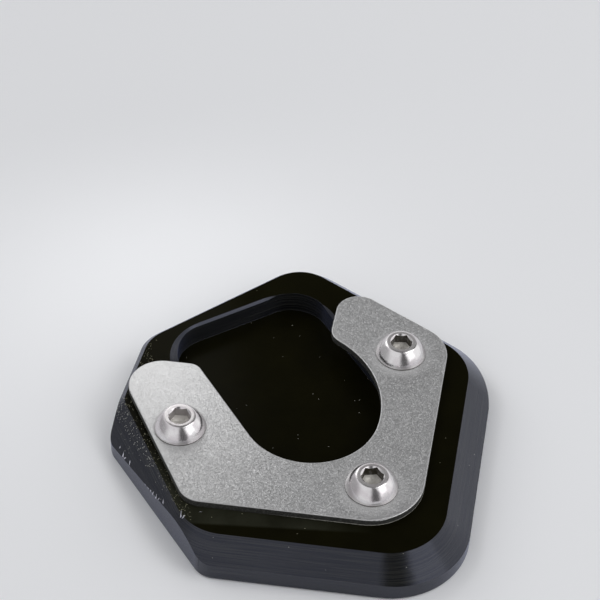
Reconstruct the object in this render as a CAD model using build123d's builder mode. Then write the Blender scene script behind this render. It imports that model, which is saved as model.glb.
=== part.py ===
"""Kickstand foot enlarger for a motorbike.

A milled aluminium base spreads the load on soft ground. It has a deep seat in its top, and a stainless
horseshoe plate, held down by three button-head screws, laps over the rim of the seat to clamp what is
put into it. The slot of the horseshoe stays open from above and towards the back left.

Millimetres and degrees. +Z is up, the underside lies on z = 0 and the origin is the middle of the base.
Every outline is laid out from the seat centre, the centre of the round end of the slot: a straight side
is the angle of the way that it faces, counted from +X, and its reach from the seat centre.
"""

import os
from math import cos, isclose, radians, sin

from build123d import *

# Base: six walls, each with its own reach, and the bevel round the top
base_height = 8.5
bevel_angle = 45.0
edge_break = 0.4

front_side_angle = -90.0
right_side_angle = -3.2
back_side_angle = 59.5
back_left_side_angle = 133.4
upper_left_side_angle = 173.8
left_side_angle = -140.7

front_reach = 37.6
right_reach = 35.65
back_reach = 38.4
back_left_reach = 38.3
upper_left_reach = 39.05
left_reach = 36.5

front_right_round = 16.4
back_right_round = 19.5
back_round = 12.0
upper_left_round = 6.0
left_round = 5.0
front_left_round = 5.0

front_bevel = 4.4
right_bevel = 5.05
back_bevel = 3.9
back_left_bevel = 1.0
upper_left_bevel = 1.1

# The top face turns away from the left wall, so the bevel there widens towards the front
left_top_angle = -149.2
left_top_reach = 33.6

front_right_top_round = 12.0
back_right_top_round = 11.2
back_top_round = 8.0
upper_left_top_round = 8.0
left_top_round = 4.5
front_left_top_round = 10.6

# Slot in the clamp plate: a straight side, a round end, and a side that bulges out
slot_radius = 14.1
slot_side_angle = -143.0
bulge_radius = 22.6
bulge_start_angle = -10.0

# Seat in the top of the base: the slot grown by the lap of the plate, closed at the back
seat_depth = 5.0
seat_lap = 1.9
seat_back_reach = 34.1
seat_round = 8.0

# The bevelled rim of the seat opens out towards the back left
rim_angle = 45.0
rim_bevel = 0.6
rim_back_bevel = 0.5
rim_swing_angle = 5.3
rim_round = 11.3

# Clamp plate: inset from the edges of the top face, flush with it at the back
plate_thickness = 1.5
plate_edge_round = 0.25
plate_front_inset = 6.15
plate_right_inset = 5.1
plate_left_inset = 1.45
left_arm_angle = 90.0
left_arm_reach = 9.5
right_arm_angle = 176.8
right_arm_reach = -0.3

plate_front_left_round = 5.0
plate_front_right_round = 11.3
plate_back_right_round = 8.5
right_arm_round = 5.0
left_arm_round = 6.8
right_arm_tip_round = 4.0
left_arm_tip_round = 3.0

# Button-head screws, ISO 7380 M6 x 8, and the turn of each hexagon socket
screw_size = 6.0
screw_length = 8.0
screw_point_chamfer = 0.7
head_size = 10.5
head_height = 3.3
head_land = 0.2
head_crown_size = 6.2
head_crown_round = 1.0
head_dome_radius = 5.8
socket_flats = 4.0
socket_depth = 2.2
socket_lead_in = 0.35
socket_point = 0.8
thread_clearance = 0.03
plate_clearance = 0.3
thread_lead_in = 0.5

left_screw = (-25.35, -8.35)
front_screw = (14.3, -18.3)
back_screw = (16.8, 19.15)
left_socket_angle = 4.0
front_socket_angle = 13.0
back_socket_angle = 7.0

half_turn = 180.0
quarter_turn = 90.0

# Seats for turned features: standing on a point, or hanging from it
STAND = (Align.CENTER, Align.CENTER, Align.MIN)
HANG = (Align.CENTER, Align.CENTER, Align.MAX)


def polar(angle, distance):
    """Point at a direction and distance from the seat centre."""
    return Vector(distance * cos(radians(angle)), distance * sin(radians(angle)))


def corner(first, second):
    """Point where two straight sides, each an angle and a reach, meet."""
    (first_angle, first_reach), (second_angle, second_reach) = first, second
    turn = sin(radians(second_angle - first_angle))
    along = polar(second_angle, first_reach) - polar(first_angle, second_reach)
    return Vector(along.Y / turn, -along.X / turn)


def corners(sides):
    """Corners of a closed outline, each between one side and the next."""
    return [corner(side, sides[(place + 1) % len(sides)]) for place, side in enumerate(sides)]


def rounded_outline(sides, rounds):
    """Face inside a ring of straight sides, with a radius for the corner after each side."""
    with BuildSketch() as outline:
        with BuildLine():
            FilletPolyline(*corners(sides), radius=rounds, close=True)
        make_face()
    return outline.sketch


# The bulging side of the slot leaves the round end smoothly and comes back parallel to the straight side
bulge_centre = polar(bulge_start_angle, slot_radius - bulge_radius)
bulge_end_angle = slot_side_angle + half_turn
slot_mouth_angle = bulge_end_angle + quarter_turn
end_sweep = bulge_start_angle - slot_side_angle
seat_bulge_sweep = bulge_end_angle - bulge_start_angle
slot_bulge_sweep = slot_mouth_angle - bulge_start_angle


def seat_outline(lap, side_angle, back_reach, back_corner_round):
    """Face of the slot grown by a lap, with its straight side turned to an angle and its back closed."""
    back = (slot_mouth_angle, back_reach)
    bulge_reach = bulge_centre.dot(polar(bulge_end_angle, 1)) + bulge_radius + lap
    left_corner = corner((side_angle, slot_radius + lap), back)
    right_corner = corner((bulge_end_angle, bulge_reach), back)
    with BuildSketch() as outline:
        with BuildLine():
            end = CenterArc((0, 0), slot_radius + lap, side_angle, bulge_start_angle - side_angle)
            bulge = CenterArc(bulge_centre, bulge_radius + lap, bulge_start_angle, seat_bulge_sweep)
            Polyline(bulge @ 1, right_corner, left_corner, end @ 0)
        make_face()
        fillet(outline.vertices().sort_by_distance(left_corner)[0], back_corner_round)
        fillet(outline.vertices().sort_by_distance(right_corner)[0], back_corner_round)
    return outline.sketch


# Outlines of the base: the walls, and the edge of the top face inside the bevel
wall_outline = rounded_outline(
    [
        (front_side_angle, front_reach),
        (right_side_angle, right_reach),
        (back_side_angle, back_reach),
        (back_left_side_angle, back_left_reach),
        (upper_left_side_angle, upper_left_reach),
        (left_side_angle, left_reach),
    ],
    [front_right_round, back_right_round, back_round, upper_left_round, left_round, front_left_round],
)

front_top_reach = front_reach - front_bevel
right_top_reach = right_reach - right_bevel
back_top_reach = back_reach - back_bevel
top_outline = rounded_outline(
    [
        (front_side_angle, front_top_reach),
        (right_side_angle, right_top_reach),
        (back_side_angle, back_top_reach),
        (back_left_side_angle, back_left_reach - back_left_bevel),
        (upper_left_side_angle, upper_left_reach - upper_left_bevel),
        (left_top_angle, left_top_reach),
    ],
    [
        front_right_top_round,
        back_right_top_round,
        back_top_round,
        upper_left_top_round,
        left_top_round,
        front_left_top_round,
    ],
)

seat_floor_outline = seat_outline(seat_lap, slot_side_angle, seat_back_reach, seat_round)
rim_outline = seat_outline(
    seat_lap + rim_bevel, slot_side_angle + rim_swing_angle, seat_back_reach + rim_back_bevel, rim_round
)

# Outline of the clamp plate: the outer sides, then the slot, then the tips of both arms
sharp = 0.0
same_place = 1e-6
plate_blank = rounded_outline(
    [
        (front_side_angle, front_top_reach - plate_front_inset),
        (right_side_angle, right_top_reach - plate_right_inset),
        (back_side_angle, back_top_reach),
        (right_arm_angle, right_arm_reach),
        (left_arm_angle, left_arm_reach),
        (left_top_angle, left_top_reach - plate_left_inset),
    ],
    [
        plate_front_right_round,
        plate_back_right_round,
        right_arm_round,
        sharp,
        left_arm_round,
        plate_front_left_round,
    ],
)

with BuildSketch() as slot:
    with BuildLine():
        slot_end = CenterArc((0, 0), slot_radius, slot_side_angle, end_sweep)
        slot_bulge = CenterArc(bulge_centre, bulge_radius, bulge_start_angle, slot_bulge_sweep)
        slot_mouth = corner((slot_side_angle, slot_radius), (slot_mouth_angle, back_left_reach))
        Polyline(slot_bulge @ 1, slot_mouth, slot_end @ 0)
    make_face()

with BuildSketch() as plate_outline:
    add(plate_blank)
    add(slot.sketch, mode=Mode.SUBTRACT)
    left_tip = corner((left_arm_angle, left_arm_reach), (slot_side_angle, slot_radius))
    fillet(plate_outline.vertices().sort_by_distance(left_tip)[0], left_arm_tip_round)
    bulge_ends = plate_outline.vertices().filter_by(
        lambda end: isclose((Vector(end) - bulge_centre).length, bulge_radius, abs_tol=same_place)
    )
    fillet(bulge_ends.sort_by(Axis.Y)[-1], right_arm_tip_round)

# The base stands on z = 0 with the middle of its walls at the origin
middle = wall_outline.bounding_box().center()
ground = Plane(origin=(-middle.X, -middle.Y, 0))
base_top = ground.offset(base_height)
plate_top = base_top.offset(plate_thickness)
screw_places = [left_screw, front_screw, back_screw]
socket_angles = [left_socket_angle, front_socket_angle, back_socket_angle]

# Milled base with its bevelled edge, seat and tapped holes
with BuildPart() as base_plate:
    with BuildSketch(ground):
        add(wall_outline)
    extrude(amount=base_height)
    chamfer(base_plate.faces().sort_by(Axis.Z)[0].edges(), edge_break)
    with BuildSketch(base_top):
        add(top_outline)
    extrude(amount=base_height, dir=(0, 0, -1), taper=-bevel_angle, mode=Mode.INTERSECT)
    with BuildSketch(base_top.offset(-seat_depth)):
        add(seat_floor_outline)
    extrude(amount=seat_depth, mode=Mode.SUBTRACT)
    with BuildSketch(base_top):
        add(rim_outline)
    extrude(amount=seat_depth, dir=(0, 0, -1), taper=rim_angle, mode=Mode.SUBTRACT)
    with Locations(ground):
        with Locations(screw_places):
            Cylinder(screw_size / 2 + thread_clearance, base_height, align=STAND, mode=Mode.SUBTRACT)
            Cone(
                screw_size / 2 + thread_lead_in,
                screw_size / 2,
                thread_lead_in,
                align=STAND,
                mode=Mode.SUBTRACT,
            )

# Clamp plate, a flat sheet cut to a horseshoe
with BuildPart() as clamp_plate:
    with BuildSketch(base_top):
        add(plate_outline.sketch)
    extrude(amount=plate_thickness)
    fillet(clamp_plate.faces().sort_by(Axis.Z)[-1].edges(), plate_edge_round)
    with Locations(plate_top):
        with Locations(screw_places):
            Hole(radius=screw_size / 2 + plate_clearance)

# One button-head screw, with the underside of its head at z = 0
with BuildSketch() as screw_profile:
    head_rim = (head_size / 2, head_land)
    crown = (head_crown_size / 2, head_height)
    with BuildLine():
        Polyline(
            crown,
            (0, head_height),
            (0, -screw_length),
            (screw_size / 2 - screw_point_chamfer, -screw_length),
            (screw_size / 2, screw_point_chamfer - screw_length),
            (screw_size / 2, 0),
            (head_size / 2, 0),
            head_rim,
        )
        RadiusArc(head_rim, crown, -head_dome_radius)
    make_face()
    fillet(screw_profile.vertices().sort_by_distance(crown)[0], head_crown_round)

with BuildPart() as screw:
    with BuildSketch(Plane.XZ):
        add(screw_profile.sketch)
    revolve(axis=Axis.Z)
    with BuildSketch(Plane.XY.offset(head_height)):
        RegularPolygon(radius=socket_flats / 2, side_count=6, major_radius=False)
    extrude(amount=-socket_depth, mode=Mode.SUBTRACT)
    with Locations((0, 0, head_height)):
        Cone(
            socket_flats / 2,
            socket_flats / 2 + socket_lead_in,
            socket_lead_in,
            align=HANG,
            mode=Mode.SUBTRACT,
        )
    with Locations((0, 0, head_height - socket_depth)):
        Cone(0, socket_flats / 2, socket_point, align=HANG, mode=Mode.SUBTRACT)

# The three screws, each turned as it was left when tightened
with BuildPart() as clamp_screws:
    with Locations(plate_top):
        for place, turn in zip(screw_places, socket_angles):
            with Locations(Location(place, turn)):
                add(screw.part)

os.makedirs("parts", exist_ok=True)
base_plate.part.label = "base_plate"
export_step(base_plate.part, "parts/base_plate.step")
clamp_plate.part.label = "clamp_plate"
export_step(clamp_plate.part, "parts/clamp_plate.step")
clamp_screws.part.label = "clamp_screws"
export_step(clamp_screws.part, "parts/clamp_screws.step")
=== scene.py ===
"""Looks for the kickstand foot enlarger: the finishes of its pieces, its wear, the stage and the camera.

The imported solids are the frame. Each piece is a copy of its solid with the sharp edges broken as a
machinist breaks them, and carries procedural materials on Object coordinates. Lengths are metres, except
where a comment says millimetres.
"""

from math import cos, pi, radians, sin

import bmesh
import bpy
from mathutils import Matrix, Vector
from mathutils.bvhtree import BVHTree


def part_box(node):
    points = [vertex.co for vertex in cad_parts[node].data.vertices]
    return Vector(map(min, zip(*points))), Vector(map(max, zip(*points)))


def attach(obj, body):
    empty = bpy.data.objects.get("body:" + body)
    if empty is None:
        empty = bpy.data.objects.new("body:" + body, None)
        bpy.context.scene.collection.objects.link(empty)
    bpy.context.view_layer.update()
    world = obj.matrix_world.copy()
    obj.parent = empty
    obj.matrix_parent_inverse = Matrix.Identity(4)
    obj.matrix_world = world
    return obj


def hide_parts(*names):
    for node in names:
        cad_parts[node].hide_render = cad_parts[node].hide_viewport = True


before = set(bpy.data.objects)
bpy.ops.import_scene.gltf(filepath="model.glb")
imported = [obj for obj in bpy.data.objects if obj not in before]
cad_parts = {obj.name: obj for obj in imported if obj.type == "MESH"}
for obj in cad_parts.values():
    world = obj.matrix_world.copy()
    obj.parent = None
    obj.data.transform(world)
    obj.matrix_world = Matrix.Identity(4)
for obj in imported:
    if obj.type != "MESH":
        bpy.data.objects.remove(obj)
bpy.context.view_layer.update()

bl_info = {
    "name": "Kickstand foot enlarger",
    "version": (1, 0, 0),
    "blender": (4, 5, 0),
    "location": "3D View > Sidebar > Foot enlarger",
    "description": "Dresses the packed foot enlarger and sets its stage",
    "category": "Object",
}

MM = 0.001
UP = (0.0, 0.0, 1.0)

# Sockets of a Mix node that is set to colours: the share of the second one, the two colours, the result
SHARE = 0
FIRST = 6
SECOND = 7
MIXED = 2

# Corners of a solid nearer than this are one corner, and facets that turn less than this are one face
SAME_CORNER = 1e-6
SAME_FACE = radians(0.4)

# Edges that turn by more than this are shaded sharp
SHARP_EDGE = radians(26)

# Edges that turn by more than this are broken by a round, on the two plates and on the screws
PLATE_BREAK = radians(50)
SCREW_BREAK = radians(40)

# How far the normal of a face rises: least on a level face and on a crown, most on a steep face
LEVEL_FACE = 0.99
CROWN_FACE = 0.95
STEEP_FACE = 0.5

# Sizes of the patterns in the finishes, in millimetres
CUTTER_LINE = 0.16
MILLED_CLOUD = 7.0
ETCHED_PORE = 0.3
ETCHED_CLOUD = 6.0
BEAD_DENT = 0.17
SHEET_BLOTCH = 5.0
BURR_AND_HIGHLIGHT_SHRED = 0.5
SCREW_STAIN = 2.2
SCREW_WAVE = 1.1
GRIME_AND_SHADE_PATCH = 0.8
METAL_TEAR = 0.25

# How many times longer a cutter line is in plan than in height
LINE_STRETCH = 125

# How far the bead dents lean out of the sheet, from one side to the other
DENT_LEAN = 0.22

# Slope in plan of the line up to which the lighter band reaches on the top face
BAND_SLOPE = -0.076

# How far the pale ring painted round a head lies in front of its axis
PALE_RING_SHIFT = 0.7 * MM

# Axes of the three screws in plan, in millimetres: left, front and back
SCREW_AXES = ((-23.52, -11.94), (16.13, -21.89), (18.63, 15.56))

# Most grime and painted shade on the socket walls of each screw, and the side of the socket that has most,
# in degrees
SOCKET_GRIME_AND_SHADE = ((0.4, 0), (1.0, 110), (1.0, 20))

# Change of the grime and painted shade from one side of a socket to the other
GRIME_AND_SHADE_LEAN = 0.08

# A socket's faces lie this near the screw's axis, and between these depths under the crown
SOCKET_REACH = 2.4 * MM
SOCKET_TOP = 0.3 * MM
SOCKET_END = 2.9 * MM

# The faces under a head's rim, which get a painted contact shadow, lie this far from the screw's axis, and
# this low over the clamp plate
RIM_REACH = 4.6 * MM
RIM_HEIGHT = 0.22 * MM

# A crown's faces lie no deeper than this
CROWN_DEPTH = 0.1 * MM

# Dust on the floor of a socket and on a crown, as shares of a full cover
SOCKET_DUST = 0.6
CROWN_DUST = 0.07

# Knocks in the oxide, in millimetres: place, length, breadth and the way the mark runs in plan, in degrees
NICKS = (
    ((-35.5, -14.4, 4.5), 1.2, 0.6, 60),
    ((-34.5, -16.3, 4.4), 2.1, 1.0, 75),
    ((-33.9, -17.1, 4.5), 1.2, 0.8, 20),
    ((-32.7, -18.4, 4.9), 2.1, 0.75, 70),
    ((-28.4, -24.3, 5.5), 0.9, 0.45, 80),
    ((-27.7, -25.2, 5.7), 1.3, 0.5, 65),
    ((-27.0, -25.9, 5.9), 1.0, 0.5, 100),
    ((-26.4, -26.6, 6.1), 1.2, 0.5, 55),
    ((-25.6, -27.5, 6.3), 1.6, 0.55, 70),
    ((-24.9, -28.2, 6.5), 1.0, 0.5, 40),
    ((-23.9, -29.2, 6.9), 1.8, 0.6, 80),
    ((-19.7, -33.0, 8.5), 2.2, 0.55, 75),
    ((-19.0, -33.4, 8.5), 1.8, 0.5, 72),
    ((-16.0, -31.9, 8.5), 0.8, 0.25, 10),
)

# Corners of a knock's outline, how deep they sink into the base and how far the middle stands proud
NICK_CORNERS = 9
NICK_SUNK = 0.01 * MM
NICK_PROUD = 0.03 * MM

# Middle of the dark gap in the surround, in degrees from the front towards the right
GAP_TURN = 23

# Way to the middle of the dim stretch of the surround, behind and above the object
DIM_WAY = (0.1, 0.46, 0.88)

# The floor lies a hair under the object, so that its face and the underside don't coincide
FLOOR_DROP = 0.02 * MM
FLOOR_RADIUS = 4.0
FLOOR_SIDES = 96

# Width of the camera's sensor, in millimetres
SENSOR_WIDTH = 36.0


def linear(hex_colour):
    """Linear red, green and blue of an sRGB hex colour."""
    channels = [int(hex_colour[place:place + 2], 16) / 255 for place in (1, 3, 5)]
    return tuple(c / 12.92 if c <= 0.04045 else ((c + 0.055) / 1.055) ** 2.4 for c in channels)


def opaque(colour, share=1.0):
    """A linear colour, or a share of it, with full alpha, as a colour socket takes it."""
    return (*[min(1.0, channel * share) for channel in colour], 1.0)


def per_mm(size):
    """Texture scale, on Object coordinates in metres, of a pattern whose features are size mm across."""
    return 1 / (size * MM)


def add_node(tree, kind, inputs=None, **settings):
    """Add a node with its settings; each input is a value or the output of another node."""
    node = tree.nodes.new(kind)
    for name, value in settings.items():
        setattr(node, name, value)
    for name, value in (inputs or {}).items():
        if isinstance(value, bpy.types.NodeSocket):
            tree.links.new(value, node.inputs[name])
        else:
            node.inputs[name].default_value = value
    return node


def new_material(name):
    """An empty node material and its tree."""
    material = bpy.data.materials.new(name)
    material.use_nodes = True
    material.node_tree.nodes.clear()
    return material, material.node_tree


def new_piece(name, mesh):
    """An object at the origin for a mesh, linked to the scene."""
    piece = bpy.data.objects.new(name, mesh)
    bpy.context.scene.collection.objects.link(piece)
    return piece


def settle(piece):
    """Turn the evaluated piece into a plain mesh without modifiers."""
    graph = bpy.context.evaluated_depsgraph_get()
    mesh = bpy.data.meshes.new_from_object(piece.evaluated_get(graph), depsgraph=graph)
    piece.modifiers.clear()
    mesh.name = piece.name
    piece.data = mesh


def broken_edge_copy(node, name, width, sharpest, materials):
    """A copy of a solid, its facets merged into faces and its sharp edges broken by a small round."""
    shape = bmesh.new()
    shape.from_mesh(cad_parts[node].data)
    bmesh.ops.remove_doubles(shape, verts=shape.verts, dist=SAME_CORNER)
    bmesh.ops.dissolve_limit(shape, angle_limit=SAME_FACE, verts=shape.verts, edges=shape.edges)
    mesh = bpy.data.meshes.new(name)
    shape.to_mesh(mesh)
    shape.free()
    for attribute in [a for a in mesh.attributes if a.name == "custom_normal"]:
        mesh.attributes.remove(attribute)
    for material in materials:
        mesh.materials.append(material)
    mesh.shade_smooth()
    mesh.set_sharp_from_angle(angle=SHARP_EDGE)
    piece = new_piece(name, mesh)
    breaks = piece.modifiers.new("broken edges", "BEVEL")
    breaks.width = width
    breaks.segments = 2
    breaks.limit_method = "ANGLE"
    breaks.angle_limit = sharpest
    piece.modifiers.new("flat faces stay flat", "WEIGHTED_NORMAL").keep_sharp = True
    settle(piece)
    return piece


def black_milled(settings):
    """Aluminium, milled and then black anodised: a dyed oxide skin over the cutter's fine lines.

    The skin is nearly black face on and mirrors the surroundings with a lilac cast at a low angle. The
    lines run along each side, so a mirror image stays crisp along the side and is drawn out across it.
    """
    material, tree = new_material("black anodised aluminium, milled")
    place = add_node(tree, "ShaderNodeTexCoord").outputs["Object"]
    # Long in plan and short in height, so that every line keeps its height round the whole outline
    in_plan = 1 / LINE_STRETCH
    stretched = add_node(
        tree, "ShaderNodeMapping", {"Vector": place, "Scale": (in_plan, in_plan, 1.0)}
    )
    lines = add_node(
        tree,
        "ShaderNodeTexNoise",
        {
            "Vector": stretched.outputs[0],
            "Scale": per_mm(CUTTER_LINE),
            "Detail": 3.0,
            "Roughness": 0.65,
        },
    )
    bands = add_node(
        tree,
        "ShaderNodeMapRange",
        {"Value": lines.outputs["Fac"], "From Min": 0.4, "From Max": 0.62},
    )
    tone = add_node(
        tree,
        "ShaderNodeMix",
        {
            SHARE: bands.outputs[0],
            FIRST: opaque(linear("#050503")),
            SECOND: opaque(settings.line_colour),
        },
        data_type="RGBA",
    )
    relief = add_node(
        tree,
        "ShaderNodeBump",
        {"Strength": 0.6, "Distance": 0.03 * MM, "Height": lines.outputs["Fac"]},
    )
    cloud = add_node(
        tree, "ShaderNodeTexNoise", {"Vector": place, "Scale": per_mm(MILLED_CLOUD), "Detail": 3.0}
    )
    rough = add_node(
        tree,
        "ShaderNodeMapRange",
        {
            "Value": cloud.outputs["Fac"],
            "From Min": 0.3,
            "From Max": 0.7,
            "To Min": 0.17,
            "To Max": 0.23,
        },
    )
    facing_way = add_node(tree, "ShaderNodeNewGeometry").outputs["Normal"]
    along = add_node(
        tree, "ShaderNodeVectorMath", {0: facing_way, 1: UP}, operation="CROSS_PRODUCT"
    )
    skin = add_node(
        tree,
        "ShaderNodeBsdfPrincipled",
        {
            "Base Color": tone.outputs[MIXED],
            "Roughness": rough.outputs[0],
            "IOR": 1.57,
            "Specular Tint": opaque(linear("#DDE3FF")),
            "Sheen Weight": 0.3,
            "Sheen Roughness": 0.35,
            "Sheen Tint": opaque(linear("#B5C3FF")),
            "Anisotropic": 0.85,
            "Anisotropic Rotation": 0.25,
            "Tangent": along.outputs[0],
            "Normal": relief.outputs[0],
        },
    )
    add_node(tree, "ShaderNodeOutputMaterial", {"Surface": skin.outputs[0]})
    return material


def black_etched(settings):
    """The same oxide over the etched top faces and the seat: open pores, so hardly any gloss is left.

    It is the deepest black on the object, faintly olive; dust lies on it, and a lighter band is drawn on
    it in front of the clamp plate.
    """
    material, tree = new_material("black anodised aluminium, etched")
    place = add_node(tree, "ShaderNodeTexCoord").outputs["Object"]
    pores = add_node(
        tree, "ShaderNodeTexNoise", {"Vector": place, "Scale": per_mm(ETCHED_PORE), "Detail": 2.0}
    )
    cloud = add_node(
        tree, "ShaderNodeTexNoise", {"Vector": place, "Scale": per_mm(ETCHED_CLOUD), "Detail": 4.0}
    )
    tone = add_node(
        tree,
        "ShaderNodeMix",
        {
            SHARE: cloud.outputs["Fac"],
            FIRST: opaque(settings.colour, 0.6),
            SECOND: opaque(settings.colour, 1.4),
        },
        data_type="RGBA",
    )
    relief = add_node(
        tree,
        "ShaderNodeBump",
        {"Strength": 0.1, "Distance": 0.02 * MM, "Height": pores.outputs["Fac"]},
    )
    # A lighter band is painted on the top face in front of the clamp plate, up to a straight line
    parts = add_node(tree, "ShaderNodeSeparateXYZ", {0: place}).outputs
    band_line = add_node(
        tree,
        "ShaderNodeMath",
        {0: parts["X"], 1: BAND_SLOPE, 2: parts["Y"]},
        operation="MULTIPLY_ADD",
    )
    film = cloud.outputs["Fac"]
    for value, bare, full in (
        (band_line.outputs[0], -33.9 * MM, -33.3 * MM),
        (parts["X"], 18 * MM, 4 * MM),
        (parts["Y"], -16 * MM, -26 * MM),
    ):
        share = add_node(
            tree, "ShaderNodeMapRange", {"Value": value, "From Min": bare, "From Max": full}
        )
        film = add_node(
            tree, "ShaderNodeMath", {0: film, 1: share.outputs[0]}, operation="MULTIPLY"
        ).outputs[0]
    banded = add_node(
        tree,
        "ShaderNodeMix",
        {SHARE: film, FIRST: tone.outputs[MIXED], SECOND: opaque(settings.band_colour)},
        data_type="RGBA",
    )
    skin = add_node(
        tree,
        "ShaderNodeBsdfPrincipled",
        {
            "Base Color": banded.outputs[MIXED],
            "Roughness": 0.25,
            "IOR": 1.09,
            "Normal": relief.outputs[0],
        },
    )
    add_node(tree, "ShaderNodeOutputMaterial", {"Surface": skin.outputs[0]})
    return material


def blasted_stainless(settings):
    """Stainless sheet, bead blasted and then cut out: a bright grey with a fine sparkling grain.

    Each dent is a small shiny bowl, so the grain shows most where the sheet mirrors something dark. The
    cut edge is rough and grey, darkened also as painted shade along the edges and on the round of the top
    edge, with a pale line of torn metal along its foot that is partly a painted highlight.
    """
    material, tree = new_material("bead-blasted stainless steel")
    place = add_node(tree, "ShaderNodeTexCoord").outputs["Object"]
    # Real bead dents are about 0.1 mm; drawn 1.7 times as coarse so that they show at this distance
    dents = add_node(tree, "ShaderNodeTexVoronoi", {"Vector": place, "Scale": per_mm(BEAD_DENT)})
    facing_way = add_node(tree, "ShaderNodeNewGeometry").outputs["Normal"]
    # Each dent's own colour, from 0 to 1, becomes a lean to either side
    lean = add_node(
        tree,
        "ShaderNodeVectorMath",
        {0: dents.outputs["Color"], 1: (DENT_LEAN, DENT_LEAN, DENT_LEAN), 2: facing_way},
        operation="MULTIPLY_ADD",
    )
    half = DENT_LEAN / 2
    leaning = add_node(
        tree, "ShaderNodeVectorMath", {0: lean.outputs[0], 1: (-half, -half, -half)}, operation="ADD"
    )
    relief = add_node(
        tree, "ShaderNodeVectorMath", {0: leaning.outputs[0]}, operation="NORMALIZE"
    )
    blotches = add_node(
        tree, "ShaderNodeTexNoise", {"Vector": place, "Scale": per_mm(SHEET_BLOTCH), "Detail": 3.0}
    )
    tone = add_node(
        tree,
        "ShaderNodeMix",
        {
            SHARE: blotches.outputs["Fac"],
            FIRST: opaque(settings.colour, 0.94),
            SECOND: opaque(settings.colour, 1.06),
        },
        data_type="RGBA",
    )
    upward = add_node(tree, "ShaderNodeSeparateXYZ", {0: facing_way}).outputs["Z"]
    # Faces that are not level take the cut edge's colour: the cut's own darker oxide, and painted shade
    # along the edges and on the round of the top edge
    cut = add_node(
        tree,
        "ShaderNodeMapRange",
        {"Value": upward, "From Min": 0.3, "From Max": 0.85, "To Min": 1.0, "To Max": 0.0},
    )
    cut_and_shade_tone = add_node(
        tree,
        "ShaderNodeMix",
        {
            SHARE: cut.outputs[0],
            FIRST: tone.outputs[MIXED],
            SECOND: opaque(settings.cut_edge_and_shade_colour),
        },
        data_type="RGBA",
    )
    chances = add_node(tree, "ShaderNodeSeparateColor", {0: dents.outputs["Color"]}).outputs
    dent_rough = add_node(
        tree, "ShaderNodeMapRange", {"Value": chances["Blue"], "To Min": 0.3, "To Max": 0.52}
    )
    rough = add_node(
        tree,
        "ShaderNodeMapRange",
        {"Value": cut.outputs[0], "To Min": dent_rough.outputs[0], "To Max": 0.85},
    )
    # A pale line along the foot of the front edge, brightest at the right: a hair of torn metal, and a
    # painted highlight where the edge catches the light
    parts = add_node(tree, "ShaderNodeSeparateXYZ", {0: place}).outputs
    shreds = add_node(tree, "ShaderNodeTexNoise", {"Vector": place, "Scale": per_mm(BURR_AND_HIGHLIGHT_SHRED)})
    burr_and_highlight = shreds.outputs["Fac"]
    for value, bare, full in (
        (parts["Z"], 8.75 * MM, 8.65 * MM),
        (parts["X"], -4 * MM, 12 * MM),
        (parts["Y"], -15 * MM, -19 * MM),
        (upward, 0.3, 0.1),
    ):
        share = add_node(
            tree, "ShaderNodeMapRange", {"Value": value, "From Min": bare, "From Max": full}
        )
        burr_and_highlight = add_node(
            tree, "ShaderNodeMath", {0: burr_and_highlight, 1: share.outputs[0]}, operation="MULTIPLY"
        ).outputs[0]
    burr_and_highlight_tone = add_node(
        tree,
        "ShaderNodeMix",
        {SHARE: burr_and_highlight, FIRST: cut_and_shade_tone.outputs[MIXED], SECOND: opaque(linear("#D8D6CA"))},
        data_type="RGBA",
    )
    # Matt where the pale line lies, so that it shows as a painted highlight
    solid = add_node(
        tree,
        "ShaderNodeMapRange",
        {"Value": burr_and_highlight, "From Max": 0.4, "To Min": 1.0, "To Max": 0.0},
    )
    # Nearly a third of the dents are crushed so finely that they scatter the light and look white
    glint = add_node(
        tree,
        "ShaderNodeMapRange",
        {"Value": chances["Green"], "From Min": 0.7, "To Min": 1.0, "To Max": 0.15},
    )
    metal = add_node(
        tree, "ShaderNodeMath", {0: solid.outputs[0], 1: glint.outputs[0]}, operation="MULTIPLY"
    ).outputs[0]
    # Round each head, most at its front, the sheet is less metallic, which paints a pale ring on it
    plan = add_node(
        tree, "ShaderNodeVectorMath", {0: place, 1: (1.0, 1.0, 0.0)}, operation="MULTIPLY"
    )
    for x, y in SCREW_AXES:
        reach = add_node(
            tree,
            "ShaderNodeVectorMath",
            {0: plan.outputs[0], 1: (x * MM, y * MM - PALE_RING_SHIFT, 0.0)},
            operation="DISTANCE",
        )
        clear = add_node(
            tree,
            "ShaderNodeMapRange",
            {
                "Value": reach.outputs["Value"],
                "From Min": 5 * MM,
                "From Max": 7.8 * MM,
                "To Min": 0.58,
            },
            interpolation_type="SMOOTHSTEP",
        )
        metal = add_node(
            tree, "ShaderNodeMath", {0: metal, 1: clear.outputs[0]}, operation="MULTIPLY"
        ).outputs[0]
    steel = add_node(
        tree,
        "ShaderNodeBsdfPrincipled",
        {
            "Base Color": burr_and_highlight_tone.outputs[MIXED],
            "Metallic": metal,
            "Roughness": rough.outputs[0],
            "Normal": relief.outputs[0],
        },
    )
    add_node(tree, "ShaderNodeOutputMaterial", {"Surface": steel.outputs[0]})
    return material


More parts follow.
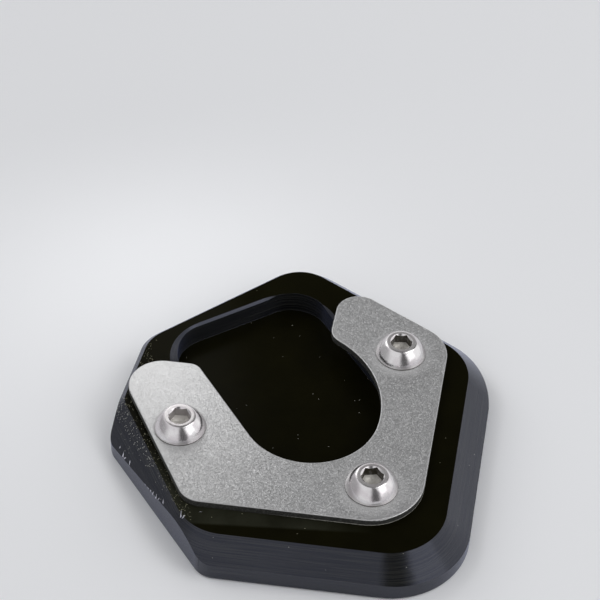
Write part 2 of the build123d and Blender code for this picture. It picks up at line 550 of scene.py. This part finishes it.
def polished_stainless(settings):
    """Cold-headed stainless screws, tumbled bright: a slightly soft mirror with faint warm stains.

    The walls of the sockets are darker, for grease and for painted shade in the sockets, the faces under
    the rims carry a painted contact shadow, and dust lies on the sockets' floors.
    """
    material, tree = new_material("polished stainless steel")
    place = add_node(tree, "ShaderNodeTexCoord").outputs["Object"]
    stains = add_node(
        tree, "ShaderNodeTexNoise", {"Vector": place, "Scale": per_mm(SCREW_STAIN), "Detail": 2.0}
    )
    stain = add_node(
        tree,
        "ShaderNodeMapRange",
        {"Value": stains.outputs["Fac"], "From Min": 0.38, "From Max": 0.62},
    )
    tone = add_node(
        tree,
        "ShaderNodeMix",
        {
            SHARE: stain.outputs[0],
            FIRST: opaque(settings.colour),
            SECOND: opaque(settings.stain_colour),
        },
        data_type="RGBA",
    )
    # Darker socket walls stand for grease and painted shade; darker faces under the rims are a painted
    # contact shadow
    soil_and_shade = add_node(tree, "ShaderNodeAttribute", attribute_name="socket_grime_and_shade").outputs["Fac"]
    patches = add_node(tree, "ShaderNodeTexNoise", {"Vector": place, "Scale": per_mm(GRIME_AND_SHADE_PATCH)})
    patchy = add_node(
        tree,
        "ShaderNodeMapRange",
        {"Value": patches.outputs["Fac"], "From Min": 0.32, "From Max": 0.46, "To Min": 0.8},
    )
    grime_and_shade = add_node(
        tree, "ShaderNodeMath", {0: soil_and_shade, 1: patchy.outputs[0]}, operation="MULTIPLY"
    ).outputs[0]
    soiled_and_shaded = add_node(
        tree,
        "ShaderNodeMix",
        {SHARE: grime_and_shade, FIRST: tone.outputs[MIXED], SECOND: opaque(settings.grime_and_shade_colour)},
        data_type="RGBA",
    )
    dust = add_node(tree, "ShaderNodeAttribute", attribute_name="socket_dust").outputs["Fac"]
    dusted = add_node(
        tree,
        "ShaderNodeMix",
        {SHARE: dust, FIRST: soiled_and_shaded.outputs[MIXED], SECOND: opaque(linear("#E6E2D6"))},
        data_type="RGBA",
    )
    cover = add_node(tree, "ShaderNodeMath", {0: grime_and_shade, 1: dust}, operation="ADD").outputs[0]
    waves = add_node(
        tree, "ShaderNodeTexNoise", {"Vector": place, "Scale": per_mm(SCREW_WAVE), "Detail": 1.0}
    )
    relief = add_node(
        tree,
        "ShaderNodeBump",
        {"Strength": 0.25, "Distance": 0.1 * MM, "Height": waves.outputs["Fac"]},
    )
    rough = add_node(
        tree,
        "ShaderNodeMapRange",
        {"Value": cover, "From Max": 0.1, "To Min": 0.19, "To Max": 0.45},
    )
    metal = add_node(
        tree,
        "ShaderNodeMapRange",
        {"Value": cover, "From Min": 0.1, "From Max": 0.9, "To Min": 1.0, "To Max": 0.0},
    )
    steel = add_node(
        tree,
        "ShaderNodeBsdfPrincipled",
        {
            "Base Color": dusted.outputs[MIXED],
            "Metallic": metal.outputs[0],
            "Roughness": rough.outputs[0],
            "Normal": relief.outputs[0],
        },
    )
    add_node(tree, "ShaderNodeOutputMaterial", {"Surface": steel.outputs[0]})
    return material


def road_dust(settings):
    """Grains of mineral dust: dry, matt and pale, more yellow on the top face than on the bevels."""
    material, tree = new_material("road dust")
    place = add_node(tree, "ShaderNodeTexCoord").outputs["Object"]
    height = add_node(tree, "ShaderNodeSeparateXYZ", {0: place}).outputs["Z"]
    on_top = add_node(
        tree,
        "ShaderNodeMapRange",
        {
            "Value": height,
            "From Min": 8.1 * MM,
            "From Max": 8.5 * MM,
            "To Min": 0.1,
            "To Max": 0.75,
        },
    )
    tone = add_node(
        tree,
        "ShaderNodeMix",
        {
            SHARE: on_top.outputs[0],
            FIRST: opaque(settings.dust_colour),
            SECOND: opaque(linear("#86825C")),
        },
        data_type="RGBA",
    )
    grains = add_node(
        tree,
        "ShaderNodeBsdfPrincipled",
        {"Base Color": tone.outputs[MIXED], "Roughness": 0.9, "Specular IOR Level": 0.2},
    )
    add_node(tree, "ShaderNodeOutputMaterial", {"Surface": grains.outputs[0]})
    return material


def bare_aluminium(settings):
    """Aluminium laid bare where the oxide was knocked off: bright, torn and softly shiny."""
    material, tree = new_material("bare aluminium")
    place = add_node(tree, "ShaderNodeTexCoord").outputs["Object"]
    tears = add_node(tree, "ShaderNodeTexNoise", {"Vector": place, "Scale": per_mm(METAL_TEAR)})
    relief = add_node(
        tree,
        "ShaderNodeBump",
        {"Strength": 0.6, "Distance": 0.05 * MM, "Height": tears.outputs["Fac"]},
    )
    metal = add_node(
        tree,
        "ShaderNodeBsdfPrincipled",
        {
            "Base Color": opaque(settings.nick_colour),
            "Metallic": 1.0,
            "Roughness": 0.5,
            "Normal": relief.outputs[0],
        },
    )
    add_node(tree, "ShaderNodeOutputMaterial", {"Surface": metal.outputs[0]})
    return material


def floor_paint(settings):
    """A pale, wholly matt paint for the floor, which shows the object's shadow and no gloss."""
    material, tree = new_material("pale floor paint")
    paint = add_node(
        tree,
        "ShaderNodeBsdfPrincipled",
        {
            "Base Color": opaque(settings.floor_colour),
            "Roughness": 1.0,
            "Specular IOR Level": 0.0,
        },
    )
    add_node(tree, "ShaderNodeOutputMaterial", {"Surface": paint.outputs[0]})
    return material


def dust_tree():
    """Geometry nodes that strew flat grains over the faces that look up, thickest round one place."""
    tree = bpy.data.node_groups.new("strewn dust", "GeometryNodeTree")
    for name, kind in (
        ("Geometry", "NodeSocketGeometry"),
        ("Grain size", "NodeSocketFloat"),
        ("Grains per area", "NodeSocketFloat"),
        ("Thickest place", "NodeSocketVector"),
        ("Way along", "NodeSocketVector"),
        ("Reach along", "NodeSocketFloat"),
        ("Reach across", "NodeSocketFloat"),
        ("Share elsewhere", "NodeSocketFloat"),
        ("Seed", "NodeSocketInt"),
        ("Material", "NodeSocketMaterial"),
    ):
        tree.interface.new_socket(name, in_out="INPUT", socket_type=kind)
    tree.interface.new_socket("Geometry", in_out="OUTPUT", socket_type="NodeSocketGeometry")
    given = add_node(tree, "NodeGroupInput").outputs
    place = add_node(tree, "GeometryNodeInputPosition").outputs[0]
    away = add_node(
        tree, "ShaderNodeVectorMath", {0: place, 1: given["Thickest place"]}, operation="SUBTRACT"
    ).outputs[0]
    across_way = add_node(
        tree, "ShaderNodeVectorMath", {0: given["Way along"], 1: UP}, operation="CROSS_PRODUCT"
    ).outputs[0]
    # The grains thin out over an ellipse, by the squares of the two runs as shares of their reaches
    squares = []
    for way, reach in ((given["Way along"], "Reach along"), (across_way, "Reach across")):
        run = add_node(tree, "ShaderNodeVectorMath", {0: away, 1: way}, operation="DOT_PRODUCT")
        share = add_node(
            tree, "ShaderNodeMath", {0: run.outputs["Value"], 1: given[reach]}, operation="DIVIDE"
        )
        square = add_node(tree, "ShaderNodeMath", {0: share.outputs[0], 1: 2.0}, operation="POWER")
        squares.append(square.outputs[0])
    spread = add_node(tree, "ShaderNodeMath", {0: squares[0], 1: squares[1]}, operation="ADD")
    thinning = add_node(
        tree,
        "ShaderNodeMapRange",
        {"Value": spread.outputs[0], "To Min": 1.0, "To Max": given["Share elsewhere"]},
    )
    density = add_node(
        tree,
        "ShaderNodeMath",
        {0: thinning.outputs[0], 1: given["Grains per area"]},
        operation="MULTIPLY",
    )
    way_up = add_node(tree, "GeometryNodeInputNormal").outputs[0]
    rise = add_node(tree, "ShaderNodeSeparateXYZ", {0: way_up}).outputs["Z"]
    looks_up = add_node(tree, "ShaderNodeMath", {0: rise, 1: STEEP_FACE}, operation="GREATER_THAN")
    strewn = add_node(
        tree,
        "GeometryNodeDistributePointsOnFaces",
        {
            "Mesh": given["Geometry"],
            "Selection": looks_up.outputs[0],
            "Density": density.outputs[0],
            "Seed": given["Seed"],
        },
    )
    grain = add_node(tree, "GeometryNodeMeshIcoSphere", {"Radius": 0.5, "Subdivisions": 1})
    form = add_node(
        tree,
        "FunctionNodeRandomValue",
        {"Min": (0.25, 0.25, 0.2), "Max": (1.0, 0.7, 0.35), "Seed": given["Seed"]},
        data_type="FLOAT_VECTOR",
    )
    size = add_node(
        tree,
        "ShaderNodeVectorMath",
        {0: form.outputs[0], "Scale": given["Grain size"]},
        operation="SCALE",
    )
    yaw = add_node(
        tree,
        "FunctionNodeRandomValue",
        {"Min": (0.0, 0.0, 0.0), "Max": (0.0, 0.0, 2 * pi), "Seed": given["Seed"]},
        data_type="FLOAT_VECTOR",
    )
    turn = add_node(tree, "FunctionNodeEulerToRotation", {0: yaw.outputs[0]})
    turned = add_node(
        tree,
        "FunctionNodeRotateRotation",
        {"Rotation": strewn.outputs["Rotation"], "Rotate By": turn.outputs[0]},
        rotation_space="LOCAL",
    )
    grains = add_node(
        tree,
        "GeometryNodeInstanceOnPoints",
        {
            "Points": strewn.outputs["Points"],
            "Instance": grain.outputs["Mesh"],
            "Rotation": turned.outputs[0],
            "Scale": size.outputs[0],
        },
    )
    real = add_node(tree, "GeometryNodeRealizeInstances", {0: grains.outputs[0]})
    painted = add_node(
        tree,
        "GeometryNodeSetMaterial",
        {"Geometry": real.outputs[0], "Material": given["Material"]},
    )
    add_node(tree, "NodeGroupOutput", {0: painted.outputs[0]})
    return tree


def nick_mesh(base, material):
    """Small torn patches of bare metal, laid on the base where its edges were knocked."""
    shape = bmesh.new()
    shape.from_mesh(base.data)
    ground = BVHTree.FromBMesh(shape)
    shape.free()
    marks = bmesh.new()
    for number, (place, length, breadth, way) in enumerate(NICKS):
        spot, out, _, _ = ground.find_nearest(Vector(place) * MM)
        run = Vector((cos(radians(way)), sin(radians(way)), 0.0))
        run = (run - out * run.dot(out)).normalized()
        side = out.cross(run)
        rim = []
        for step in range(NICK_CORNERS):
            turn = 2 * pi * step / NICK_CORNERS
            # A wave that differs from corner to corner and from mark to mark
            ragged = 0.7 + 0.3 * sin(3.7 * step + 2.1 * number)
            taper = 0.6 - 0.4 * cos(turn)
            flat = run * (cos(turn) * length / 2) + side * (sin(turn) * breadth * taper / 2)
            rim.append(marks.verts.new(spot + flat * ragged * MM - out * NICK_SUNK))
        top = marks.verts.new(spot + out * NICK_PROUD)
        for step in range(NICK_CORNERS):
            marks.faces.new((rim[step], rim[(step + 1) % NICK_CORNERS], top))
    bmesh.ops.recalc_face_normals(marks, faces=marks.faces)
    mesh = bpy.data.meshes.new("edge_nicks")
    marks.to_mesh(mesh)
    marks.free()
    mesh.materials.append(material)
    return mesh


def facing(spot, aim):
    """Matrix at spot whose -Z axis points at aim."""
    turn = (aim - spot).to_track_quat("-Z", "Y").to_matrix().to_4x4()
    return Matrix.Translation(spot) @ turn


def pale_surround(settings):
    """The pale room round the stage, dimmer at the left and in a stretch behind and above the object.

    It is darkest in a gap at the right of the camera, which the bevels and the heads mirror.
    """
    world = bpy.data.worlds.new("pale surround")
    world.use_nodes = True
    tree = world.node_tree
    tree.nodes.clear()
    way = add_node(tree, "ShaderNodeTexCoord").outputs["Generated"]
    parts = add_node(tree, "ShaderNodeSeparateXYZ", {0: way}).outputs
    front = add_node(tree, "ShaderNodeMath", {0: parts["Y"], 1: -1.0}, operation="MULTIPLY")
    turn = add_node(
        tree, "ShaderNodeMath", {0: parts["X"], 1: front.outputs[0]}, operation="ARCTAN2"
    )
    off_gap = add_node(
        tree, "ShaderNodeMath", {0: turn.outputs[0], 1: radians(GAP_TURN)}, operation="SUBTRACT"
    )
    reach = add_node(tree, "ShaderNodeMath", {0: off_gap.outputs[0]}, operation="ABSOLUTE")
    backward = add_node(
        tree, "ShaderNodeVectorMath", {0: way, 1: DIM_WAY}, operation="DOT_PRODUCT"
    )
    strength = settings.surround
    for value, darkest, full, least in (
        (reach.outputs[0], radians(9), radians(26), 0.14),
        (parts["X"], -0.97, -0.6, 0.5),
        (backward.outputs["Value"], 0.94, 0.66, 0.06),
    ):
        share = add_node(
            tree,
            "ShaderNodeMapRange",
            {"Value": value, "From Min": darkest, "From Max": full, "To Min": least},
            interpolation_type="SMOOTHSTEP",
        )
        strength = add_node(
            tree, "ShaderNodeMath", {0: strength, 1: share.outputs[0]}, operation="MULTIPLY"
        ).outputs[0]
    glow = add_node(
        tree, "ShaderNodeBackground", {"Color": opaque(linear("#FDFDFF")), "Strength": strength}
    )
    add_node(tree, "ShaderNodeOutputWorld", {"Surface": glow.outputs[0]})
    return world


def soft_box(name, size, spot, aim, glow, mirrored=True):
    """A square soft box whose face has the brightness glow; mirror images may leave it out."""
    lamp = bpy.data.lights.new(name, "AREA")
    lamp.size = size
    lamp.energy = glow * pi * size * size
    box = bpy.data.objects.new(name, lamp)
    box.matrix_world = facing(Vector(spot), Vector(aim))
    box.visible_camera = False
    box.visible_glossy = mirrored
    bpy.context.scene.collection.objects.link(box)


def colour_setting(name, description, hex_colour):
    """A colour that a user may change."""
    return bpy.props.FloatVectorProperty(
        name=name,
        description=description,
        subtype="COLOR",
        size=3,
        min=0.0,
        max=1.0,
        default=linear(hex_colour),
    )


def length_setting(name, description, default):
    """A length that a user may change."""
    return bpy.props.FloatProperty(
        name=name,
        description=description,
        subtype="DISTANCE",
        unit="LENGTH",
        min=0.0,
        precision=5,
        default=default,
    )


def amount_setting(name, description, default):
    """A plain amount, such as a brightness, that a user may change."""
    return bpy.props.FloatProperty(name=name, description=description, min=0.0, default=default)


def place_setting(name, description, default):
    """A place in the scene that a user may change."""
    return bpy.props.FloatVectorProperty(
        name=name,
        description=description,
        subtype="TRANSLATION",
        unit="LENGTH",
        size=3,
        default=default,
    )


class BasePlateSettings(bpy.types.PropertyGroup):
    """Sizes and colours of the base plate."""

    colour: colour_setting("Etched oxide", "Colour of the top faces and the seat", "#0F0E04")
    # Colour of the lighter band painted on the top in front of the clamp plate
    band_colour: colour_setting("Dust film", "Colour of the thin film of dust on the top", "#32332A")
    line_colour: colour_setting("Cutter lines", "Lightest colour of the milled sides", "#272722")
    edge_round: length_setting("Edge round", "Width of the round on each square edge", 0.18 * MM)


class ClampPlateSettings(bpy.types.PropertyGroup):
    """Sizes and colours of the clamp plate."""

    colour: colour_setting("Blasted steel", "Colour of the blasted faces", "#CDCDCD")
    # The cut edge's own colour, darkened further as painted shade along the plate's edges
    cut_edge_and_shade_colour: colour_setting("Cut edge", "Colour of the cut edge", "#52524F")
    edge_round: length_setting("Edge round", "Width of the round on each square edge", 0.08 * MM)


class ClampScrewSettings(bpy.types.PropertyGroup):
    """Sizes and colours of the three clamp screws."""

    colour: colour_setting("Polished steel", "Colour of the polished steel", "#E4E2E2")
    stain_colour: colour_setting("Stain", "Colour of the faint warm stains", "#D8D3D5")
    # Colour of the grease and painted shade on the socket walls, and of the painted contact shadow under
    # the rims
    grime_and_shade_colour: colour_setting("Socket grime", "Colour of the grime on the socket walls", "#26200A")
    edge_round: length_setting("Edge round", "Width of the round on each square edge", 0.1 * MM)


class WearSettings(bpy.types.PropertyGroup):
    """Dust and knocks."""

    dust_colour: colour_setting("Dust", "Colour of the dust", "#CECEC8")
    nick_colour: colour_setting("Bare metal", "Colour of the metal under the oxide", "#E4E4EE")
    grain_size: length_setting("Grain size", "Length of the largest grain of dust", 0.23 * MM)
    grains: amount_setting(
        "Grains per square millimetre", "Grains where the dust lies thickest", 18.0
    )
    seed: bpy.props.IntProperty(
        name="Seed", description="Start of the random places of the dust", default=7
    )


class StageSettings(bpy.types.PropertyGroup):
    """Floor, light and camera."""

    floor_colour: colour_setting("Floor", "Colour of the plain floor", "#F0F1F3")
    surround: amount_setting("Surround", "Brightness of the pale surround", 0.83)
    top_glow: amount_setting("Top box", "Brightness of the soft box overhead", 2.0)
    back_glow: amount_setting("Back box", "Brightness of the soft box behind", 0.16)
    near_glow: amount_setting(
        "Near box", "Brightness of the small soft box close behind the left arm", 1.4
    )
    left_glow: amount_setting("Left box", "Brightness of the soft box at the left", 1.0)
    right_glow: amount_setting("Right box", "Brightness of the low soft box at the right", 0.2)
    front_glow: amount_setting("Front box", "Brightness of the soft box at the front right", 0.7)
    camera_spot: place_setting("Camera", "Place of the camera", (0.02368, -0.24921, 0.27551))
    camera_aim: place_setting("Aim", "Point in the middle of the picture", (-0.00534, 0.03870, 0.0))
    camera_roll: bpy.props.FloatProperty(
        name="Roll",
        description="Turn of the camera about its line of sight",
        subtype="ANGLE",
        unit="ROTATION",
        default=radians(2.08),
    )
    lens: bpy.props.FloatProperty(
        name="Lens",
        description="Focal length in millimetres, on a sensor 36 mm wide",
        min=1.0,
        default=106.8,
    )


class FOOT_ENLARGER_OT_base_plate(bpy.types.Operator):
    """Dress the base plate in black anodised aluminium"""

    bl_idname = "foot_enlarger.base_plate"
    bl_label = "Base plate"

    def execute(self, context):
        settings = context.scene.foot_enlarger_base
        finishes = (black_milled(settings), black_etched(settings))
        piece = broken_edge_copy(
            "base_plate", "milled_base", settings.edge_round, PLATE_BREAK, finishes
        )
        for face in piece.data.polygons:
            face.material_index = int(face.normal.z > LEVEL_FACE)
        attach(piece, "root")
        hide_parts("base_plate")
        return {"FINISHED"}


class FOOT_ENLARGER_OT_clamp_plate(bpy.types.Operator):
    """Dress the clamp plate in bead-blasted stainless steel"""

    bl_idname = "foot_enlarger.clamp_plate"
    bl_label = "Clamp plate"

    def execute(self, context):
        settings = context.scene.foot_enlarger_plate
        finishes = (blasted_stainless(settings),)
        piece = broken_edge_copy(
            "clamp_plate", "horseshoe_plate", settings.edge_round, PLATE_BREAK, finishes
        )
        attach(piece, "root")
        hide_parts("clamp_plate")
        return {"FINISHED"}


class FOOT_ENLARGER_OT_clamp_screws(bpy.types.Operator):
    """Dress the three button-head screws in polished stainless steel"""

    bl_idname = "foot_enlarger.clamp_screws"
    bl_label = "Clamp screws"

    def execute(self, context):
        settings = context.scene.foot_enlarger_screws
        finishes = (polished_stainless(settings),)
        piece = broken_edge_copy(
            "clamp_screws", "button_screws", settings.edge_round, SCREW_BREAK, finishes
        )
        for name in ("socket_grime_and_shade", "socket_dust"):
            piece.data.attributes.new(name, "FLOAT", "CORNER")
        grime_and_shade = piece.data.attributes["socket_grime_and_shade"].data
        dust = piece.data.attributes["socket_dust"].data
        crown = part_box("clamp_screws")[1].z
        plate_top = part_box("clamp_plate")[1].z
        for face in piece.data.polygons:
            middle = face.center
            depth = crown - middle.z
            reaches = [(middle.xy - Vector(axis) * MM).length for axis in SCREW_AXES]
            radius = min(reaches)
            most, side = SOCKET_GRIME_AND_SHADE[reaches.index(radius)]
            toward = -face.normal.x * cos(radians(side)) - face.normal.y * sin(radians(side))
            uneven = 1 - GRIME_AND_SHADE_LEAN + GRIME_AND_SHADE_LEAN * toward
            on_wall = abs(face.normal.z) < STEEP_FACE
            in_socket = radius < SOCKET_REACH and SOCKET_TOP < depth < SOCKET_END
            # Faces under the rim carry a painted contact shadow where the head sits on the plate
            rim_contact_shade = radius > RIM_REACH and middle.z < plate_top + RIM_HEIGHT
            on_crown = face.normal.z > CROWN_FACE and depth < CROWN_DEPTH
            on_floor = in_socket and not on_wall
            for corner in face.loop_indices:
                # Socket walls get grease and painted shade; faces under the rim get the painted contact
                # shadow
                grime_and_shade[corner].value = in_socket * on_wall * most * uneven + rim_contact_shade
                dust[corner].value = SOCKET_DUST * on_floor + CROWN_DUST * on_crown
        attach(piece, "root")
        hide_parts("clamp_screws")
        return {"FINISHED"}


class FOOT_ENLARGER_OT_wear(bpy.types.Operator):
    """Strew dust over the base plate and knock its edges"""

    bl_idname = "foot_enlarger.wear"
    bl_label = "Wear"

    def execute(self, context):
        settings = context.scene.foot_enlarger_wear
        base = bpy.data.objects["milled_base"]
        dust = new_piece("dust_grains", base.data.copy())
        strewing = dust.modifiers.new("dust", "NODES")
        strewing.node_group = dust_tree()
        values = {
            "Grain size": settings.grain_size,
            "Grains per area": settings.grains / MM**2,
            "Thickest place": (-29.8 * MM, -15.8 * MM, 8.0 * MM),
            "Way along": (0.52, -0.855, 0.0),
            "Reach along": 15 * MM,
            "Reach across": 4.2 * MM,
            "Share elsewhere": 0.0009,
            "Seed": settings.seed,
            "Material": road_dust(settings),
        }
        for socket in strewing.node_group.interface.items_tree:
            if socket.in_out == "INPUT" and socket.name in values:
                strewing[socket.identifier] = values[socket.name]
        settle(dust)
        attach(dust, "root")
        nicks = new_piece("edge_nicks", nick_mesh(base, bare_aluminium(settings)))
        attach(nicks, "root")
        return {"FINISHED"}


class FOOT_ENLARGER_OT_stage(bpy.types.Operator):
    """Set the floor, the light and the camera"""

    bl_idname = "foot_enlarger.stage"
    bl_label = "Stage"

    def execute(self, context):
        settings = context.scene.foot_enlarger_stage
        scene = context.scene
        scene.view_settings.view_transform = "Standard"

        floor_mesh = bpy.data.meshes.new("floor")
        sheet = bmesh.new()
        bmesh.ops.create_circle(sheet, cap_ends=True, segments=FLOOR_SIDES, radius=FLOOR_RADIUS)
        sheet.to_mesh(floor_mesh)
        sheet.free()
        floor_mesh.transform(Matrix.Translation((0.0, 0.0, -FLOOR_DROP)))
        floor_mesh.materials.append(floor_paint(settings))
        new_piece("floor", floor_mesh)

        scene.world = pale_surround(settings)

        middle = (0.0, 0.0, 0.0)
        left_arm = (-0.02, -0.005, 0.01)
        soft_box("near box", 0.045, (-0.043, 0.05, 0.06), left_arm, settings.near_glow)
        soft_box("top box", 0.46, (0.45, 0.03, 0.7), middle, settings.top_glow)
        soft_box("back box", 1.0, (-0.1, 0.9, 0.75), middle, settings.back_glow)
        soft_box("left box", 0.7, (-0.8, 0.25, 0.7), middle, settings.left_glow, mirrored=False)
        soft_box("right box", 1.0, (1.0, 0.25, 0.4), middle, settings.right_glow)
        soft_box("front box", 0.6, (0.78, -0.38, 0.56), middle, settings.front_glow)

        lens = bpy.data.cameras.new("camera")
        lens.lens = settings.lens
        lens.sensor_width = SENSOR_WIDTH
        lens.clip_start = 0.01
        camera = bpy.data.objects.new("camera", lens)
        level = facing(Vector(settings.camera_spot), Vector(settings.camera_aim))
        camera.matrix_world = level @ Matrix.Rotation(settings.camera_roll, 4, "Z")
        scene.collection.objects.link(camera)
        scene.camera = camera
        return {"FINISHED"}


class FOOT_ENLARGER_PT_panel(bpy.types.Panel):
    """Settings and steps of the foot enlarger"""

    bl_label = "Foot enlarger"
    bl_idname = "FOOT_ENLARGER_PT_panel"
    bl_space_type = "VIEW_3D"
    bl_region_type = "UI"
    bl_category = "Foot enlarger"

    def draw(self, context):
        scene = context.scene
        for group, step in (
            (scene.foot_enlarger_base, FOOT_ENLARGER_OT_base_plate),
            (scene.foot_enlarger_plate, FOOT_ENLARGER_OT_clamp_plate),
            (scene.foot_enlarger_screws, FOOT_ENLARGER_OT_clamp_screws),
            (scene.foot_enlarger_wear, FOOT_ENLARGER_OT_wear),
            (scene.foot_enlarger_stage, FOOT_ENLARGER_OT_stage),
        ):
            box = self.layout.box()
            for name in group.bl_rna.properties.keys():
                if name not in ("rna_type", "name"):
                    box.prop(group, name)
            box.operator(step.bl_idname)


SETTINGS = {
    "foot_enlarger_base": BasePlateSettings,
    "foot_enlarger_plate": ClampPlateSettings,
    "foot_enlarger_screws": ClampScrewSettings,
    "foot_enlarger_wear": WearSettings,
    "foot_enlarger_stage": StageSettings,
}

STEPS = (
    FOOT_ENLARGER_OT_base_plate,
    FOOT_ENLARGER_OT_clamp_plate,
    FOOT_ENLARGER_OT_clamp_screws,
    FOOT_ENLARGER_OT_wear,
    FOOT_ENLARGER_OT_stage,
    FOOT_ENLARGER_PT_panel,
)


def register():
    """Register the classes and hang the settings on the scene."""
    for kind in (*SETTINGS.values(), *STEPS):
        bpy.utils.register_class(kind)
    for name, kind in SETTINGS.items():
        setattr(bpy.types.Scene, name, bpy.props.PointerProperty(type=kind))


def unregister():
    """Take the settings off the scene and unregister the classes."""
    for name in SETTINGS:
        delattr(bpy.types.Scene, name)
    for kind in reversed((*SETTINGS.values(), *STEPS)):
        bpy.utils.unregister_class(kind)


def main():
    """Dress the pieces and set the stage."""
    register()
    bpy.ops.foot_enlarger.base_plate()
    bpy.ops.foot_enlarger.clamp_plate()
    bpy.ops.foot_enlarger.clamp_screws()
    bpy.ops.foot_enlarger.wear()
    bpy.ops.foot_enlarger.stage()


if __name__ == "__main__":
    main()
